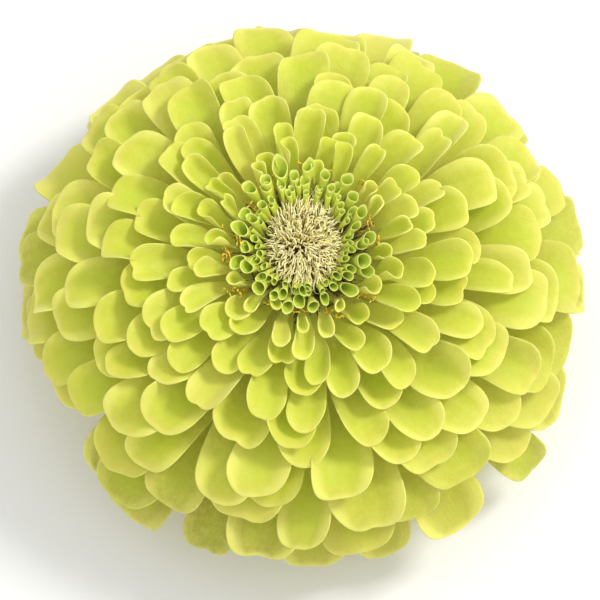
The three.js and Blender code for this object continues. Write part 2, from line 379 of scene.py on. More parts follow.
# The skin of the open petals: v runs from the root to the tip, age from the disc to the lowest row
skin = {
    "oliveInside": (0.57, 0.61, 0.07),
    "oliveOutside": (0.37, 0.38, 0.065),
    "green": (0.53, 0.57, 0.045),
    "limeInside": (0.66, 0.71, 0.045),
    "limeOutside": (0.585, 0.55, 0.062),
    # the hollow colour is painted shade; the crest and rim colours are painted highlights
    "shadedHollow": (0.48, 0.57, 0.035),
    "pale": (0.735, 0.68, 0.15),
    "crest": (0.79, 0.77, 0.175),
    "rim": (0.83, 0.79, 0.28),
    "old": (0.56, 0.49, 0.085),
    # painted shade for the lowest rows, on random petals and on the side away from the key lamp
    "shaded": (0.29, 0.265, 0.05),
    "paintedSideShade": (0.25, 0.225, 0.04),
    # brown patches towards the root of the lowest petals
    "brownRootPatches": (0.34, 0.22, 0.06),
    "roughness": 0.55,
    "sheen": 0.15,
    "streakScales": (26.0, 2.2, 40.0),
    "mottleScale": 700.0,
    "mottleDetail": 5.0,
    "grainScale": 2600.0,
    # where the painted side shade sets in, by x plus y in metres
    "paintedShadeSpan": (-0.035, -0.06),
    "undersidePaleness": 0.35,
    # strength of the painted glow
    "paintedGlowStrength": 0.125,
    "translucency": 0.2,
    "scatterRadii": (0.9, 1.0, 0.25),
    "scatterDepth": 0.0012,
    "relief": 0.6,
}


def growthColour(nodes, v, age):  # olive at the root, partly the petal's own colour and partly painted shade where the petals above cover it; lime and pale at the tip, yellower with age
    outside = nodes.ramp(age, 0.05, 0.6)
    olive = nodes.blend(outside, skin["oliveInside"], skin["oliveOutside"])
    lime = nodes.blend(outside, skin["limeInside"], skin["limeOutside"])
    colour = nodes.blend(nodes.ramp(v, 0.28, 0.66), olive, skin["green"])
    colour = nodes.blend(nodes.ramp(v, 0.55, 0.92), colour, lime)
    pale = nodes.times(nodes.ramp(v, 0.7, 1.0), nodes.ramp(age, 0.0, 0.5, (0.2, 0.6)))
    colour = nodes.blend(pale, colour, skin["pale"])
    return nodes.blend(nodes.ramp(age, 0.45, 1.0, (0.0, 0.45)), colour, skin["old"])


def lowRowShadeAndPatches(nodes, colour, v, age, tone, mottle):  # the lowest rows: painted shade on random petals and on the side away from the key lamp, and brown patches towards the root
    # painted shade on random petals of the lowest rows, and some on every petal of the lowest
    shaded = nodes.times(nodes.ramp(age, 0.66, 1.0), nodes.ramp(tone, 0.15, 0.7, (0.95, 0.0)))
    shaded = nodes.maths("MAXIMUM", shaded, nodes.ramp(age, 0.8, 1.0, (0.0, 0.42)))
    colour = nodes.blend(shaded, colour, skin["shaded"])
    # painted shade on the near left, the side away from the key lamp
    x, y, _ = nodes.split(nodes.place())
    nearLeft = nodes.ramp(nodes.maths("ADD", x, y), *skin["paintedShadeSpan"])
    paintedSideShade = nodes.times(nearLeft, nodes.ramp(age, 0.72, 0.95), nodes.ramp(tone, 0.3, 0.75, (0.8, 0.1)))
    colour = nodes.blend(paintedSideShade, colour, skin["paintedSideShade"])
    # brown patches towards the root of the lowest petals
    patches = nodes.times(nodes.ramp(v, 0.95, 0.5), nodes.ramp(mottle, 0.4, 0.65))
    brownRootPatches = nodes.times(patches, nodes.ramp(age, 0.72, 1.0, (0.0, 0.75)))
    return nodes.blend(brownRootPatches, colour, skin["brownRootPatches"])


def reliefShadeAndHighlight(nodes, colour, v, side, tone, mottle):  # painted shade in the hollow, painted highlight on the crests and along the rim
    # painted shade: a darker, greener hollow down the middle of the blade, stronger on some petals
    shadedHollow = nodes.times(nodes.ramp(side, 0.75, 0.25), nodes.ramp(v, 0.88, 0.62), nodes.ramp(v, 0.3, 0.5))
    shadeAmount = nodes.ramp(nodes.redraw(tone, 13.0), 0.0, 1.0, (0.12, 0.6))
    colour = nodes.blend(nodes.times(shadedHollow, shadeAmount), colour, skin["shadedHollow"])
    # painted highlight on the turned-up sides and the tip, where the cupped blade catches the light
    crest = nodes.maths("MAXIMUM", nodes.ramp(side, 0.45, 0.85), nodes.ramp(v, 0.8, 0.94))
    crestHighlight = nodes.ramp(nodes.redraw(tone, 7.0), 0.0, 1.0, (0.1, 0.68))
    crest = nodes.times(crest, nodes.ramp(v, 0.35, 0.7), crestHighlight)
    colour = nodes.blend(crest, colour, skin["crest"])
    # painted highlight along the edges of the blade
    rim = nodes.maths("MAXIMUM", nodes.ramp(side, 0.9, 1.0), nodes.ramp(v, 0.95, 1.0))
    rim = nodes.times(rim, nodes.ramp(mottle, 0.3, 0.7, (0.1, 0.5)))
    return nodes.blend(rim, colour, skin["rim"])


def petalMaterial(name, underside):
    nodes = Nodes(name, skin["roughness"], skin["sheen"])
    u, v = nodes.across()
    side = nodes.fromMidrib(u)
    tone = nodes.number("tone")
    age = nodes.number("age")
    streak = nodes.fibres((u, v, tone), skin["streakScales"])
    mottle = nodes.noise(skin["mottleScale"], skin["mottleDetail"])
    grain = nodes.noise(skin["grainScale"])
    colour = growthColour(nodes, v, age)
    colour = lowRowShadeAndPatches(nodes, colour, v, age, tone, mottle)
    for share, tint in (
        (nodes.ramp(streak, 0.3, 0.75, (0.0, 0.26)), "green"),
        (nodes.ramp(mottle, 0.35, 0.75, (0.0, 0.3)), "pale"),
        (nodes.ramp(tone, 0.0, 0.5, (0.4, 0.0)), "green"),
        (nodes.ramp(tone, 0.6, 1.0, (0.0, 0.4)), "pale"),
        (nodes.ramp(grain, 0.35, 0.7, (0.0, 0.24)), "oliveInside"),
    ):
        colour = nodes.blend(share, colour, skin[tint])
    colour = reliefShadeAndHighlight(nodes, colour, v, side, tone, mottle)
    if underside:
        colour = nodes.blend(skin["undersidePaleness"], colour, skin["pale"])
    # painted glow: a weak emission in the petal colour that lifts the shade between the petals
    nodes.paintedGlow(colour, skin["paintedGlowStrength"])
    nodes.give("Subsurface Weight", skin["translucency"])
    nodes.give("Subsurface Radius", skin["scatterRadii"])
    nodes.give("Subsurface Scale", skin["scatterDepth"])
    height = nodes.maths("ADD", nodes.times(streak, 0.35), mottle)
    height = nodes.maths("ADD", height, nodes.times(grain, 0.25))
    return nodes.finish(colour, height, strength=skin["relief"])


# The open petals: most pairs of values are for the innermost and the lowest petal
petals = {
    "count": 216,
    "bloomRadius": 49.5,
    "widestHeight": 8.5,
    "domeHeight": 33,
    "domeSquareness": 0.87,
    "tipAngles": (15, 92),
    "tipStart": 0.6,
    "tipSpread": 1.1,
    "rootInsets": (0.6, 1.4),
    "rootDepth": 1.8,
    "rootSlopes": (72, -3),
    "innerLean": 24,
    "tipSlopes": (44, -53),
    "droopJitter": 13,
    "lengthJitters": (1.8, 2.2),
    "turnJitter": 4,
    "yawJitter": 6,
    "rollJitters": (15, 10),
    "widthsPerRadius": (0.26, 0.275, 0.24),
    "widthJitter": 0.2,
    "innerShare": 0.4,
    "clawShare": 0.2,
    "clawGain": 1.1,
    "clawSharpness": 5.2,
    "slimClaw": 0.4,
    "broadestAt": 0.85,
    "tipWidthShare": 0.12,
    "bluntness": 2.0,
    "cups": (2.3, 0.6),
    "cupJitter": 0.3,
    "cupFading": 6,
    "cupWidening": 0.06,
    "hiddenCups": (0.7, 0.35),
    "tipCups": (1.15, 0.85),
    "lopsidedness": 0.35,
    "spoons": (0.3, 0.16),
    "lips": (0.15, 0.4),
    "curls": (0.8, 0.6),
    "ripple": 0.07,
    "rippleSlant": 0.35,
    "notch": 0.9,
    "notchWidth": 0.4,
    "tipSlant": 0.1,
    "scallop": 0.07,
    "thickness": 0.3,
    "acrossFaces": 6,
    "alongFaces": 11,
    "tipRows": 5,
    "groups": (("innerPetals", 0.34), ("middlePetals", 0.67), ("outerPetals", 1.0)),
    "tuckDepth": 7.0,
    "tuckGap": 0.5,
    "tuckFrom": (0.3, 0.5),
    "tuckPasses": 5,
    "tuckFade": 0.93,
}
curveHandles = {"root": 0.42, "tip": 0.38}
fewestAndMost = {"ripples": (1.6, 3.1), "scallops": (3.5, 7)}
# Where along a petal each form sets in and is full: 0 is the root and 1 the tip
formPlaces = {
    "broadClaw": (0.35, 0.75),
    "slimClaw": (0.55, 0.85),
    "slant": (0.7, 1),
    "spoon": (0.78, 1),
    "scallop": (0.8, 1),
    "flatTip": (0.85, 1),
    "notch": (0.9, 1),
}
receptacle = {
    "topRadius": 8,
    "topHeight": 34,
    "topBevel": 0.2,
    "footRadius": 12,
    "footHeight": 13.4,
    "footBevel": 1,
    "sides": 36,
    "rings": 8,
    "lumps": 9,
    "lumpHeight": 0.25,
    "dark": (0.13, 0.12, 0.025),
    "light": (0.3, 0.31, 0.05),
}
young = {
    "count": 62,
    "tinyCount": 26,
    "rootRadii": (5.5, 7.5),
    "rootLift": 0.4,
    "turnJitter": 4,
    "mouthPlaces": (7.9, 12.0),
    "placeJitter": 0.45,
    "mouthHeights": (39.4, 41.0),
    "heightJitter": 0.7,
    "mouthRadii": (0.55, 1.28),
    "radiusJitter": 0.16,
    "tinyPlaces": (7.6, 9.2),
    "tinyHeight": 39.5,
    "tinyHeightJitter": 0.3,
    "tinyRadius": 0.46,
    "kneePlaces": (0.3, 0.55),
    "kneeHeights": (0.6, 0.45),
    "kneePull": 0.7,
    "depths": (1.0, 0.85),
    "depthJitter": 0.2,
    "slants": (0.45, 1.0),
    "slantJitter": 0.3,
    "lean": 0.7,
    "pinch": 0.27,
    "wavyEdge": 0.2,
    "stretch": 1.14,
    "sides": 10,
    "outerWall": [(0.0, 0.26), (0.25, 0.38), (0.46, 0.5), (0.66, 0.69), (0.85, 0.93), (1.0, 1.1)],
    "innerWall": [(1.0, 0.93), (0.85, 0.77), (0.68, 0.5), (0.52, 0.26)],
    "base": (0.24, 0.24, 0.035),
    "side": (0.47, 0.55, 0.035),
    "fresh": (0.62, 0.66, 0.05),
    # painted shade inside the cups: deep at the bottom, throat near the mouth
    "deep": (0.1, 0.18, 0.015),
    "throat": (0.38, 0.5, 0.035),
    "lip": (0.68, 0.72, 0.16),
}


def petalShare(k):
    return k / (petals["count"] - 1)


def petalAngle(k):
    return goldenAngle * (k + young["count"])


def tipOnDome(share):
    reached = share * mix(petals["tipStart"], 1, share ** petals["tipSpread"])
    angle = math.radians(mix(*petals["tipAngles"], reached))
    across = abs(math.sin(angle)) ** petals["domeSquareness"]
    up = math.copysign(abs(math.cos(angle)) ** petals["domeSquareness"], math.cos(angle))
    return Vector((petals["bloomRadius"] * across, petals["widestHeight"] + petals["domeHeight"] * up))


def midribOf(k):  # the four points of the curve from root to tip
    share = petalShare(k)
    topInset, footInset = petals["rootInsets"]
    rootHeight = mix(receptacle["topHeight"] - topInset, receptacle["footHeight"] + footInset, share**0.9)
    root = Vector((mix(receptacle["topRadius"], receptacle["footRadius"], share), rootHeight))
    rise = mix(*petals["rootSlopes"], share**0.75) - petals["innerLean"] * (1 - share) ** 8
    droop = mix(*petals["tipSlopes"], share**0.7) + jitter(k, 1, petals["droopJitter"])
    tip = tipOnDome(share) + heading(droop) * jitter(k, 52, mix(*petals["lengthJitters"], share))
    span = (tip - root).length
    return (
        root - heading(rise) * petals["rootDepth"],
        root + heading(rise) * curveHandles["root"] * span,
        tip - heading(droop) * curveHandles["tip"] * span,
        tip,
    )


def alongCurve(points, s):
    a, b, c, d = points
    t = 1 - s
    place = a * t**3 + b * (3 * t * t * s) + c * (3 * t * s * s) + d * s**3
    along = ((b - a) * (t * t) + (c - b) * (2 * t * s) + (d - c) * (s * s)).normalized()
    return place, along


def widthShare(s):
    broadest = petals["broadestAt"]
    if s < broadest:
        return mix(petals["clawShare"], 1, math.sin(math.pi / 2 * s / broadest) ** petals["clawSharpness"])
    past = min((s - broadest) / (1 - broadest), 1)
    return mix(petals["tipWidthShare"], 1, (1 - past ** petals["bluntness"]) ** (1 / petals["bluntness"]))


def rowPlace(number):  # rows crowd together round the tip
    tipRows = petals["tipRows"]
    stemRows = petals["alongFaces"] - tipRows
    if number <= stemRows:
        return petals["broadestAt"] * number / stemRows
    turn = math.pi / 2 * (number - stemRows) / tipRows
    return mix(petals["broadestAt"], 1, math.sin(turn) ** (2 / petals["bluntness"]))


def modelPetalBlank():
    blank = sheetBlank("petalBlank", petals["acrossFaces"], petals["alongFaces"])
    rows = sorted({round(vertex.co.y, 5) for vertex in blank.data.vertices}, reverse=True)
    startEdit()
    for number, row in enumerate(rows):
        wanted = rowPlace(len(rows) - 1 - number)
        selectWhere(blank, lambda place: abs(place.y - row) < 0.001)
        bpy.ops.transform.translate(value=(0, wanted - row, 0))
        bpy.ops.transform.resize(value=(widthShare(wanted), 1, 1), center_override=(0, wanted, 0))
    endEdit()
    return blank


def petalTraits(k):  # what this petal has of its own
    share = petalShare(k)
    inside, halfway, outside = petals["widthsPerRadius"]
    pastInner = smooth(share, 0, petals["innerShare"])
    widthPerRadius = mix(mix(inside, halfway, pastInner), outside, share**2)
    halfWidth = 0.5 * widthPerRadius * tipOnDome(share).x * (1 + jitter(k, 4, petals["widthJitter"]))
    cup = mix(*petals["cups"], 1 - (1 - share) ** petals["cupFading"])
    return {
        "share": share,
        "midrib": midribOf(k),
        "around": math.radians(petalAngle(k) + jitter(k, 3, petals["turnJitter"])),
        "halfWidth": halfWidth,
        "cup": cup * (1 + jitter(k, 5, petals["cupJitter"])),
        "yaw": math.radians(jitter(k, 6, petals["yawJitter"])),
        "roll": math.tan(math.radians(jitter(k, 7, mix(*petals["rollJitters"], share)))),
        "ripple": petals["ripple"] * halfWidth * (0.6 + chance(k, 8)),
        "ripples": mix(*fewestAndMost["ripples"], chance(k, 9)),
        "rippleStart": chance(k, 10),
        "lopsided": jitter(k, 12, petals["lopsidedness"]),
        "notch": petals["notch"] * chance(k, 13) ** 4,
        "slant": jitter(k, 14, petals["tipSlant"]) * halfWidth,
        "curl": mix(*petals["curls"], share) * chance(k, 15) ** 3 * halfWidth,
        "curledSide": 1 if chance(k, 16) > 0.5 else -1,
        "scallop": petals["scallop"] * halfWidth * chance(k, 17),
        "scallopStart": 2 * math.pi * chance(k, 18),
        "scallops": mix(*fewestAndMost["scallops"], chance(k, 19)),
        "spoon": mix(*petals["spoons"], share) * halfWidth,
        "lip": mix(*petals["lips"], pastInner) * halfWidth,
        "showsFrom": mix(0.3, 0.6, math.sqrt(share)),
        "showsFully": mix(0.75, 0.93, math.sqrt(share)),
    }


def petalLay(k):
    own = petalTraits(k)
    share = own["share"]

    def formed(s, form):
        return smooth(s, *formPlaces[form])

    def lay(flat):
        x, s, _ = flat
        place, along = alongCurve(own["midrib"], s)
        shown = smooth(s, own["showsFrom"], own["showsFully"])
        fold = own["cup"] * mix(mix(*petals["hiddenCups"], share), 1, shown)
        fold *= (1 + own["lopsided"] * x) * mix(*petals["tipCups"], formed(s, "flatTip"))
        reach = own["halfWidth"] * (1 + petals["clawGain"] * share * (1 - formed(s, "broadClaw")))
        reach *= 1 - petals["slimClaw"] * (1 - share) ** 8 * (1 - formed(s, "slimClaw"))
        reach *= 1 + petals["cupWidening"] * fold * fold * shown
        across = reach / fold * math.sin(fold * x)
        lift = reach / fold * (1 - math.cos(fold * x)) - across * own["roll"] * shown
        lift += own["spoon"] * formed(s, "spoon")
        lift += own["lip"] * (smooth(abs(x), 0.35, 0.9) - x**2) * shown
        wave = math.sin(2 * math.pi * (own["ripples"] * s + own["rippleStart"] + petals["rippleSlant"] * x))
        lift += own["ripple"] * wave * abs(x) ** 2 * shown
        lift += own["curl"] * max(0, own["curledSide"] * x) ** 3 * shown
        back = own["notch"] * formed(s, "notch") * max(0, 1 - abs(x) / petals["notchWidth"])
        back += own["slant"] * x * formed(s, "slant")
        back += own["scallop"] * math.sin(own["scallops"] * x + own["scallopStart"]) * formed(s, "scallop")
        at = place + Vector((-along.y, along.x)) * lift - along * back
        return aroundAxis(at, own["around"] + own["yaw"] * s * s - across / max(place.x, 5))

    return lay


def addSurface(points, faces, mesh):  # to the lists that a search tree is made from
    start = len(points)
    points.extend(vertex.co / millimetre for vertex in mesh.vertices)
    faces.extend([start + corner for corner in face.vertices] for face in mesh.polygons)


def spreadPushes(needed):  # a push draws its neighbours along, so the petal bends softly
    across = petals["acrossFaces"] + 1
    along = petals["alongFaces"] + 1
    pushes = list(needed)
    for _ in range(petals["tuckPasses"]):
        spread = []
        for number in range(len(pushes)):
            row, column = divmod(number, across)
            neighbours = (
                (number, True),
                (number - 1, column > 0),
                (number + 1, column < across - 1),
                (number - across, row > 0),
                (number + across, row < along - 1),
            )
            near = [pushes[neighbour] for neighbour, there in neighbours if there]
            spread.append(max(needed[number], petals["tuckFade"] * sum(near) / len(near)))
        pushes = spread
    return pushes


def tuckUnder(made, k, upperPoints, upperFaces):  # sinks a petal until it clears the petals above it
    if not upperPoints:
        return
    tree = BVHTree.FromPolygons(upperPoints, upperFaces)
    midrib = midribOf(k)
    around = math.radians(petalAngle(k))
    reach = petals["tuckDepth"] + petals["tuckGap"]
    needed = []
    ups = []
    for number, vertex in enumerate(made.data.vertices):
        s = rowPlace(number // (petals["acrossFaces"] + 1))
        along = alongCurve(midrib, s)[1]
        up = aroundAxis(Vector((-along.y, along.x)), around)
        hit = tree.ray_cast(vertex.co / millimetre - up * petals["tuckDepth"], up, reach)
        push = 0 if hit[0] is None else reach - hit[3]
        needed.append(push * smooth(s, *petals["tuckFrom"]))
        ups.append(up)
    for vertex, up, push in zip(made.data.vertices, ups, spreadPushes(needed)):
        vertex.co -= up * push * millimetre


def buildPetals():
    blank = modelPetalBlank()
    upperPoints = []
    upperFaces = []
    sides = [petalMaterial("petalUpper", False), petalMaterial("petalLower", True)]
    first = 0
    for name, end in petals["groups"]:
        last = round(end * petals["count"])
        copies = []
        for k in range(first, last):
            petal = bendCopy(blank, f"petal{k}", petalLay(k), tone=chance(k, 31), age=petalShare(k))
            tuckUnder(petal, k, upperPoints, upperFaces)
            addSurface(upperPoints, upperFaces, petal.data)
            copies.append(petal)
        made = joinCopies(copies, name)
        for side in sides:
            made.data.materials.append(side)
        thickness = petals["thickness"] * millimetre
        useModifier(made, "SOLIDIFY", thickness=thickness, offset=0, material_offset=1)
        refine(made)
        finishPiece(made, "ray_petals")
        first = last
    dropBlank(blank)


# The blunt cone that the petals grow from
def buildReceptacle():
    top = receptacle["topHeight"]
    foot = receptacle["footHeight"]
    rim = foot + receptacle["footBevel"]
    profile = [(foot, receptacle["footRadius"] - receptacle["footBevel"])]
    for ring in range(receptacle["rings"]):
        share = ring / receptacle["rings"]
        radius = mix(receptacle["footRadius"], receptacle["topRadius"], share)
        profile.append((mix(rim, top, share), radius))
    profile.append((top, receptacle["topRadius"] - receptacle["topBevel"]))

    def lay(point):
        lump = math.sin(receptacle["lumps"] * math.atan2(point.y, point.x) + point.z)
        rough = receptacle["lumpHeight"] * lump * (rim < point.z < top)
        return point + Vector((point.x, point.y, 0)).normalized() * rough

    made = turnedPiece("receptacle", receptacle["sides"], profile, lay)
    refine(made)
    nodes = Nodes("receptacleSkin", 0.8)
    patch = nodes.noise(700.0, 3.0)
    colour = nodes.blend(nodes.ramp(patch, 0.35, 0.65), receptacle["dark"], receptacle["light"])
    finishPiece(made, "ray_petals", nodes.finish(colour, patch, distance=0.0003))


# The young petals, still rolled up round the disc
def youngMaterial():
    nodes = Nodes("youngPetal", 0.5, sheen=0.1)
    rise = nodes.number("rise")
    tone = nodes.number("tone")
    speckle = nodes.noise(1500.0)
    colour = nodes.blend(nodes.ramp(rise, 0.4, 0.92), young["base"], young["side"])
    colour = nodes.blend(nodes.ramp(tone, 0.0, 1.0, (0.0, 0.5)), colour, young["fresh"])
    # inside the cup: painted shade, darkest at the bottom and lighter up the throat, with less of it in the
    # wider cups
    inside = nodes.blend(nodes.ramp(rise, 0.5, 0.95), young["deep"], young["throat"])
    inside = nodes.blend(nodes.times(nodes.number("ripe"), 0.6), inside, young["side"])
    colour = nodes.blend(nodes.ramp(nodes.number("shadedHollow"), 0.35, 0.65), colour, inside)
    colour = nodes.blend(nodes.ramp(rise, 0.93, 1.0), colour, young["lip"])
    colour = nodes.blend(nodes.ramp(speckle, 0.4, 0.8, (0.0, 0.15)), colour, young["lip"])
    # painted glow in the cup colour, as on the open petals
    nodes.paintedGlow(colour, skin["paintedGlowStrength"])
    return nodes.finish(colour, speckle, distance=0.00008)


def modelCupBlank():
    blank = turnBlank("cupBlank", young["sides"], young["outerWall"] + young["innerWall"])
    rises = []
    hollows = []
    for vertex in blank.data.vertices:
        radius = math.hypot(vertex.co.x, vertex.co.y)
        inside = any(abs(vertex.co.z - h) < 0.01 and abs(radius - r) < 0.02 for h, r in young["innerWall"])
        rises.append(vertex.co.z)
        hollows.append(float(inside))
    fillNumber(blank.data, "rise", rises)
    fillNumber(blank.data, "shadedHollow", hollows)
    return blank


def youngShare(j):  # 0 at the disc, and for the tiniest cups, whose numbers are below 0
    return max(j, 0) / (young["count"] - 1)


def mouthOf(j):
    share = youngShare(j)
    if j < 0:
        place = mix(*young["tinyPlaces"], chance(j, 12))
        return Vector((place, young["tinyHeight"] + jitter(j, 13, young["tinyHeightJitter"])))
    place = mix(*young["mouthPlaces"], share**1.3) + jitter(j, 12, young["placeJitter"])
    height = mix(*young["mouthHeights"], math.sqrt(share)) + jitter(j, 13, young["heightJitter"])
    return Vector((place, height))


def cupLay(j):
    share = youngShare(j)
    around = math.radians(goldenAngle * j + jitter(j, 11, young["turnJitter"]))
    root = Vector((mix(*young["rootRadii"], share), receptacle["topHeight"] + young["rootLift"]))
    mouth = mouthOf(j)
    kneePlace = mix(root.x, mouth.x, mix(*young["kneePlaces"], share))
    knee = Vector((kneePlace, mix(root.y, mouth.y, mix(*young["kneeHeights"], share))))
    points = (root, mix(root, knee, young["kneePull"]), mix(mouth, knee, young["kneePull"]), mouth)
    mouthRadius = young["tinyRadius"] if j < 0 else mix(*young["mouthRadii"], share**1.5)
    wide = mouthRadius * (1 + jitter(j, 14, young["radiusJitter"]))
    deep = wide * mix(*young["depths"], share) * (1 + jitter(j, 15, young["depthJitter"]))
    slant = mix(*young["slants"], share) + jitter(j, 16, young["slantJitter"])
    lean = jitter(j, 17, young["lean"])
    pinch = young["pinch"] * chance(j, 18)
    phase = 2 * math.pi * chance(j, 19)
    tangent = sideward(around)

    def lay(point):
        place, along = alongCurve(points, point.z)
        front = Vector((along.y, -along.x))
        turn = math.atan2(point.y, point.x)
        squeeze = 1 + pinch * point.z * (math.sin(2 * turn + phase) + 0.5 * math.sin(3 * turn - phase))
        edge = young["wavyEdge"] * wide * point.z**2 * math.sin(3 * turn + phase)
        offset = deep * point.y * squeeze
        at = place + front * offset + along * (slant * offset * point.z**2 + edge)
        bent = aroundAxis(at, around) + tangent * (wide * point.x * squeeze + lean * point.z**2)
        return Vector((bent.x, bent.y * mix(1, young["stretch"], point.z), bent.z))

    return lay


def buildYoungPetals():
    blank = modelCupBlank()
    copies = [
        bendCopy(blank, f"cup{j}", cupLay(j), tone=chance(j, 41), ripe=youngShare(j))
        for j in range(-young["tinyCount"], young["count"])
    ]
    dropBlank(blank)
    made = joinCopies(copies, "youngPetals")
    refine(made)
    finishPiece(made, "young_petals", youngMaterial())


# Threads: a blank that tapers to its tip, laid along four points in space
thread = {
    "rings": 7,
    "sides": 4,
    "tipThickness": 0.35,
}


def modelThreadBlank():
    shares = [ring / thread["rings"] for ring in range(thread["rings"] + 1)]
    profile = [(share, mix(1.0, thread["tipThickness"], share**2)) for share in shares]
    blank = turnBlank("threadBlank", thread["sides"], profile)
    fillNumber(blank.data, "rise", [vertex.co.z for vertex in blank.data.vertices])
    return blank


def threadLay(points, thick):
    def lay(point):
        place, along = alongCurve(points, point.z)
        side = along.orthogonal().normalized()
        other = along.cross(side)
        return place + (side * point.x + other * point.y) * thick

    return lay


def threadMaterial(name, first, second, roughness):
    nodes = Nodes(name, roughness, sheen=0.1)
    speckle = nodes.noise(1400.0)
    towardsTip = nodes.ramp(nodes.number("rise"), 0.0, 0.8, (0.3, 1.0))
    share = nodes.times(nodes.ramp(speckle, 0.35, 0.65), towardsTip)
    return nodes.finish(nodes.blend(share, first, second))


# The disc: a dome under a tuft of pale strands
disc = {
    "footHeight": receptacle["topHeight"] + 0.3,
    "radius": 4.9,
    "rise": 2.4,
    "sides": 24,
    "ringAngles": (90, 72, 54, 36, 18, 4),
    "strands": 740,
    "rootDepth": 0.6,
    "rootShare": 0.86,
    "turnJitter": 6,
    "topHeight": 39.4,
    "edgeDrop": 2.4,
    "middleDip": 0.9,
    "spread": 7.1,
    "tipJitter": 0.6,
    "sideJitter": 0.7,
    "stretches": (1.31, 1.46),
    "stretchSpan": (-4, 4),
    "whorl": (1.0, -1.3),
    "thick": (0.15, 0.24),
    "bend": 1.1,
    "bendPlace": 0.6,
    "curlReach": (0.7, 1.7),
    "curlTurn": 80,
    "curlHeights": (0.5, 0.9),
    # strength of the painted glow
    "paintedGlowStrength": 0.03,
    "dark": (0.09, 0.065, 0.015),
    "brown": (0.2, 0.15, 0.04),
    "straw": (0.7, 0.55, 0.17),
    "cream": (0.96, 0.87, 0.37),
    "white": (0.98, 0.95, 0.6),
}


def strandLay(i):
    share = math.sqrt((i + 0.5) / disc["strands"])
    around = math.radians(goldenAngle * i + jitter(i, 51, disc["turnJitter"]))
    out = outward(around)
    side = sideward(around)
    rootRise = disc["rise"] * math.cos(math.pi / 2 * disc["rootShare"] * share) - disc["rootDepth"]
    root = out * (disc["rootShare"] * disc["radius"] * share) + straightUp * (disc["footHeight"] + rootRise)
    tipOut = disc["spread"] * share**0.85 + jitter(i, 52, disc["tipJitter"])
    tipRise = disc["topHeight"] - disc["edgeDrop"] * share**3 - disc["middleDip"] * (1 - share) ** 2
    tipRise += jitter(i, 53, disc["tipJitter"])
    tip = out * tipOut + side * jitter(i, 54, disc["sideJitter"]) + straightUp * tipRise
    tip.y *= mix(*disc["stretches"], smooth(tip.y, *disc["stretchSpan"]))
    tip += Vector((*disc["whorl"], 0)) * (1 - share) ** 0.7
    turn = math.radians(jitter(i, 58, disc["curlTurn"]))
    curlAway = (out * math.cos(turn) + side * math.sin(turn)) * mix(*disc["curlReach"], chance(i, 59))
    crest = tip - curlAway + straightUp * mix(*disc["curlHeights"], chance(i, 60))
    bow = side * jitter(i, 55, disc["bend"])
    points = (root, mix(root, crest, disc["bendPlace"]) + bow, crest, tip)
    return threadLay(points, mix(*disc["thick"], chance(i, 57)))


def strandMaterial():
    nodes = Nodes("discStrand", 0.6, sheen=0.2)
    rise = nodes.number("rise")
    colour = nodes.blend(nodes.ramp(rise, 0.05, 0.45), disc["dark"], disc["straw"])
    colour = nodes.blend(nodes.ramp(rise, 0.25, 0.65), colour, disc["cream"])
    pale = nodes.times(nodes.ramp(rise, 0.45, 0.95), nodes.ramp(nodes.number("tone"), 0.2, 0.9))
    colour = nodes.blend(pale, colour, disc["white"])
    # a faint painted glow in the strand colour
    nodes.paintedGlow(colour, disc["paintedGlowStrength"])
    return nodes.finish(colour)


def buildDisc():
    turns = [math.radians(angle) for angle in disc["ringAngles"]]
    profile = [
        (disc["footHeight"] + disc["rise"] * math.cos(turn), disc["radius"] * math.sin(turn))
        for turn in turns
    ]
    made = turnedPiece("discDome", disc["sides"], profile)
    refine(made)
    nodes = Nodes("discDome", 0.85)
    grain = nodes.noise(1200.0, 3.0)
    colour = nodes.blend(nodes.ramp(grain, 0.35, 0.7), disc["dark"], disc["brown"])
    finishPiece(made, "disc_bristles", nodes.finish(colour, grain, distance=0.0003))
    blank = modelThreadBlank()
    copies = [bendCopy(blank, f"strand{i}", strandLay(i), tone=chance(i, 61)) for i in range(disc["strands"])]
    dropBlank(blank)
    finishPiece(joinCopies(copies, "discStrands"), "disc_bristles", strandMaterial())


# Brown scales and orange styles between the claws of the inner petals
chaff = {
    "count": 130,
    "turnJitter": 8,
    "rootInset": 0.4,
    "places": (9.6, 12.8),
    "heights": (37.6, 37.2),
    "sideJitter": 0.8,
    "heightJitter": 1.0,
    "bend": 0.6,
    "arch": 0.6,
    "thick": (0.22, 0.4),
    "roughness": 0.6,
    "dark": (0.07, 0.05, 0.015),
    "light": (0.45, 0.37, 0.16),
}
styles = {
    "count": 28,
    "candidates": 600,
    "clearBelow": 3.0,
    "clearAbove": 6.0,
    "clearRound": 0.35,
    "firstTurn": 40,
    "turnJitter": 10,
    "places": (10.2, 15.5),
    "placeJitter": 1.0,
    "heights": (39.3, 38.2),
    "heightJitter": 0.6,
    "stemOut": 2.2,
    "stemDrop": 2.6,
    "stemBend": 0.8,
    "armLength": 1.1,
    "armSwing": (0.6, 1.3),
    "armRise": 0.8,
    "armJitters": (1.0, 0.5, 0.4),
    "armThickness": 0.85,
    "thick": 0.2,
    "thickJitter": 0.25,
    "roughness": 0.45,
    "orange": (0.82, 0.5, 0.02),
    "yellow": (0.95, 0.78, 0.09),
}


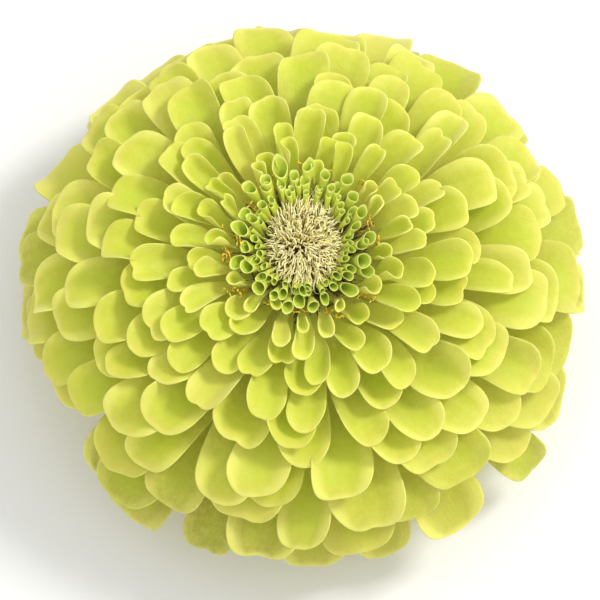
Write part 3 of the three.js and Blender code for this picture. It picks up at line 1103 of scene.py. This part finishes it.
def chaffLay(i):
    share = (i + 0.5) / chaff["count"]
    around = math.radians(goldenAngle * i + jitter(i, 71, chaff["turnJitter"]))
    out = outward(around)
    side = sideward(around)
    place = mix(*chaff["places"], share)
    inset = chaff["rootInset"]
    root = out * min(place, receptacle["topRadius"] - inset) + straightUp * (receptacle["topHeight"] - inset)
    height = mix(*chaff["heights"], share) + jitter(i, 73, chaff["heightJitter"])
    tip = out * place + side * jitter(i, 72, chaff["sideJitter"]) + straightUp * height
    bow = side * jitter(i, 74, chaff["bend"])
    low = mix(root, tip, 0.35) + straightUp * chaff["arch"] + bow
    high = mix(root, tip, 0.7) + bow
    return threadLay((root, low, high, tip), mix(*chaff["thick"], chance(i, 75)))


def stylePlace(i):
    share = (i + 0.5) / styles["candidates"]
    around = math.radians(goldenAngle * i + styles["firstTurn"] + jitter(i, 81, styles["turnJitter"]))
    place = mix(*styles["places"], share) + jitter(i, 82, styles["placeJitter"])
    height = mix(*styles["heights"], share) + jitter(i, 83, styles["heightJitter"])
    return around, aroundAxis((place, height), around)


def openPlaces():  # the places that lie in a gap between petals
    points = []
    faces = []
    for name in ("innerPetals", "youngPetals"):
        addSurface(points, faces, bpy.data.objects[name].data)
    tree = BVHTree.FromPolygons(points, faces)
    found = []
    for i in range(styles["candidates"]):
        fork = stylePlace(i)[1]
        above = tree.ray_cast(fork, straightUp, styles["clearAbove"])
        below = tree.ray_cast(fork, -straightUp, styles["clearBelow"])
        if above[0] is None and below[0] is None and tree.find_nearest(fork)[3] > styles["clearRound"]:
            found.append(i)
    print(f"{len(found)} open places for styles")
    return found[:: max(1, len(found) // styles["count"])]


def styleLays(i):  # a short stem and the two curled arms of its fork
    around, fork = stylePlace(i)
    out = outward(around)
    side = sideward(around)
    foot = fork - out * styles["stemOut"] - straightUp * styles["stemDrop"]
    low = foot + straightUp * 1.2 + side * jitter(i, 85, styles["stemBend"])
    high = fork - straightUp * 0.9 + side * jitter(i, 86, styles["stemBend"])
    thick = styles["thick"] * (1 + jitter(i, 84, styles["thickJitter"]))
    lays = [threadLay((foot, low, high, fork), thick)]
    reach = styles["armLength"]
    rise = styles["armRise"]
    outJitter, endJitter, crestJitter = styles["armJitters"]
    for hand in (1, -1):
        swing = hand * mix(*styles["armSwing"], chance(i, 87))
        end = fork + side * reach * swing * 0.6 + out * jitter(i, 88 + hand, outJitter)
        end += straightUp * jitter(i, 94 + hand, endJitter)
        crestRise = rise + jitter(i, 91 + hand, crestJitter)
        crest = fork + side * reach * 1.5 * swing + straightUp * crestRise
        lays.append(threadLay((fork, fork + straightUp * rise, crest, end), thick * styles["armThickness"]))
    return lays


def buildThreads():
    blank = modelThreadBlank()
    scales = [bendCopy(blank, f"scale{i}", chaffLay(i)) for i in range(chaff["count"])]
    brown = threadMaterial("chaff", chaff["dark"], chaff["light"], chaff["roughness"])
    finishPiece(joinCopies(scales, "chaffScales"), "ray_petals", brown)
    arms = [bendCopy(blank, f"style{i}", lay) for i in openPlaces() for lay in styleLays(i)]
    orange = threadMaterial("style", styles["orange"], styles["yellow"], styles["roughness"])
    finishPiece(joinCopies(arms, "styles"), "ray_petals", orange)
    dropBlank(blank)


# The cup of green bracts under the petals
bracts = {
    "rows": 3,
    "inRow": 9,
    "footHeight": 4.6,
    "footRadius": 2.5,
    "topHeight": 13.1,
    "topRadius": 12.3,
    "cupAngles": (12, 86),
    "coreSides": 40,
    "coreRings": 8,
    "coreInset": 0.35,
    "starts": (0.02, 0.5),
    "ends": (0.42, 1),
    "turnJitter": 2,
    "halfAngles": (21, 17.5),
    "widthJitter": 0.06,
    "clawShare": 0.7,
    "lifts": (-0.1, 0.5),
    "arch": 0.28,
    "fluting": 0.1,
    "thickness": 0.4,
    "acrossFaces": 6,
    "alongFaces": 6,
    "roughness": 0.55,
    "streakScales": (22.0, 2.0, 1.0),
    "deep": (0.1, 0.17, 0.025),
    "fresh": (0.24, 0.36, 0.06),
    "margin": (0.06, 0.03, 0.012),
}


def cupSide(share):
    angle = math.radians(mix(*bracts["cupAngles"], share))
    radius = mix(bracts["footRadius"], bracts["topRadius"], math.sin(angle))
    return Vector((radius, mix(bracts["topHeight"], bracts["footHeight"], math.cos(angle))))


def bractLay(row, n):
    rowShare = row / (bracts["rows"] - 1)
    start = mix(*bracts["starts"], rowShare)
    end = mix(*bracts["ends"], rowShare)
    number = row * bracts["inRow"] + n
    turn = 360 / bracts["inRow"] * (n + 0.5 * row)
    around = math.radians(turn + jitter(number, 95, bracts["turnJitter"]))
    halfAngle = math.radians(mix(*bracts["halfAngles"], rowShare))
    halfAngle *= 1 + jitter(number, 96, bracts["widthJitter"])

    def lay(flat):
        x, s, _ = flat
        share = mix(start, end, s)
        ahead = min(share + 0.01, 1)
        along = cupSide(ahead) - cupSide(ahead - 0.01)
        out = Vector((along.y, -along.x)).normalized()
        claw = mix(bracts["clawShare"], 1, smooth(s, 0, 0.6))
        width = claw * math.sqrt(max(1 - smooth(s, 0.5, 1.25) ** 2, 0.01))
        lift = mix(*bracts["lifts"], s) - bracts["arch"] * x**2
        lift += bracts["fluting"] * math.cos(3 * math.pi * x) * (1 - s)
        return aroundAxis(cupSide(share) + out * lift, around + halfAngle * width * x)

    return lay


def bractMaterial():
    nodes = Nodes("bract", bracts["roughness"], sheen=0.1)
    u, v = nodes.across()
    streak = nodes.fibres((u, v, nodes.number("tone")), bracts["streakScales"])
    colour = nodes.blend(nodes.ramp(streak, 0.3, 0.7), bracts["deep"], bracts["fresh"])
    edge = nodes.maths("MAXIMUM", nodes.ramp(nodes.fromMidrib(u), 0.84, 0.97), nodes.ramp(v, 0.88, 0.97))
    colour = nodes.blend(edge, colour, bracts["margin"])
    return nodes.finish(colour, streak, distance=0.00015)


def buildBracts():
    profile = [(bracts["footHeight"] + 0.01, 0.5)]
    for ring in range(bracts["coreRings"] + 1):
        place = cupSide(ring / bracts["coreRings"])
        profile.append((place.y, place.x - bracts["coreInset"]))
    profile.append((bracts["topHeight"], 1.0))
    core = turnedPiece("bractCore", bracts["coreSides"], profile)
    finishPiece(core, "bract_cup", plainMaterial("bractCore", bracts["deep"], 0.6))
    blank = sheetBlank("bractBlank", bracts["acrossFaces"], bracts["alongFaces"])
    copies = [
        bendCopy(blank, f"bract{row}{n}", bractLay(row, n), tone=float(10 * row + n))
        for row in range(bracts["rows"])
        for n in range(bracts["inRow"])
    ]
    dropBlank(blank)
    made = joinCopies(copies, "bractScales")
    useModifier(made, "SOLIDIFY", thickness=bracts["thickness"] * millimetre, offset=0)
    refine(made)
    finishPiece(made, "bract_cup", bractMaterial())


# The cut stalk and its fine hairs
stalk = {
    "radius": 2.8,
    "sides": 32,
    "ribs": 8,
    "ribDepth": 0.1,
    "flare": 0.1,
    "topInset": 0.3,
    "cutBevel": (0.15, 0.25),
    "capRadius": 0.5,
    "fibreScales": (2500.0, 2500.0, 300.0),
    "pithEdge": (0.0026, 0.0021),
    "cutFace": (0.0003, 0.0001),
    "green": (0.2, 0.32, 0.05),
    "pale": (0.42, 0.5, 0.16),
    "pith": (0.72, 0.76, 0.5),
    "hairs": 240,
    "hairInset": 0.25,
    "hairLean": 0.35,
    "hairLength": 1.1,
    "hairThick": 0.035,
    "hairSides": 3,
    "hairProfile": [(0, 1.0), (0.5, 0.8), (1, 0.3)],
    "hairColour": (0.75, 0.8, 0.6),
}


def stalkMaterial():
    nodes = Nodes("stalkSkin", 0.55)
    x, y, z = nodes.split(nodes.place())
    reach = nodes.maths("SQRT", nodes.maths("ADD", nodes.times(x, x), nodes.times(y, y)))
    fibre = nodes.fibres((x, y, z), stalk["fibreScales"])
    colour = nodes.blend(nodes.ramp(fibre, 0.3, 0.7), stalk["green"], stalk["pale"])
    inside = nodes.times(nodes.ramp(reach, *stalk["pithEdge"]), nodes.ramp(z, *stalk["cutFace"]))
    colour = nodes.blend(inside, colour, stalk["pith"])
    return nodes.finish(colour, fibre, distance=0.0001)


def buildStalk():
    top = bracts["footHeight"] - stalk["topInset"]
    radius = stalk["radius"]
    bevelHeight, bevelInset = stalk["cutBevel"]
    profile = [
        (0, stalk["capRadius"]),
        (0, radius - bevelInset),
        (bevelHeight, radius),
        (0.3 * top, radius),
        (0.6 * top, radius),
        (0.9 * top, radius + 0.8 * stalk["flare"]),
        (top, radius + stalk["flare"]),
        (top, stalk["capRadius"]),
    ]

    def lay(point):
        turn = math.atan2(point.y, point.x)
        reach = math.hypot(point.x, point.y)
        reach += stalk["ribDepth"] * (math.cos(stalk["ribs"] * turn) - 1) * (reach > 0.8 * radius)
        return aroundAxis((reach, point.z), turn)

    made = turnedPiece("stalkStub", stalk["sides"], profile, lay)
    refine(made)
    finishPiece(made, "stalk", stalkMaterial())


def hairLay(i):
    out = outward(math.radians(goldenAngle * i))
    rise = mix(0.5, bracts["footHeight"] - 0.7, (i + 0.5) / stalk["hairs"])
    root = out * (stalk["radius"] - stalk["hairInset"]) + straightUp * rise
    lean = Vector([jitter(i, question, stalk["hairLean"]) for question in (97, 98, 99)])
    tip = root + (out + lean) * stalk["hairLength"] * (0.6 + 0.4 * chance(i, 100))
    tip.z = max(tip.z, 0.1)
    points = (root, mix(root, tip, 0.33), mix(root, tip, 0.67) + lean * 0.2, tip)
    return threadLay(points, stalk["hairThick"])


def buildHairs():
    blank = turnBlank("hairBlank", stalk["hairSides"], stalk["hairProfile"])
    copies = [bendCopy(blank, f"hair{i}", hairLay(i)) for i in range(stalk["hairs"])]
    dropBlank(blank)
    finishPiece(joinCopies(copies, "stalkHairs"), "stalk", plainMaterial("hair", stalk["hairColour"], 0.5))


setCamera()
setStudio()
buildPetals()
buildReceptacle()
buildYoungPetals()
buildDisc()
buildThreads()
buildBracts()
buildStalk()
buildHairs()
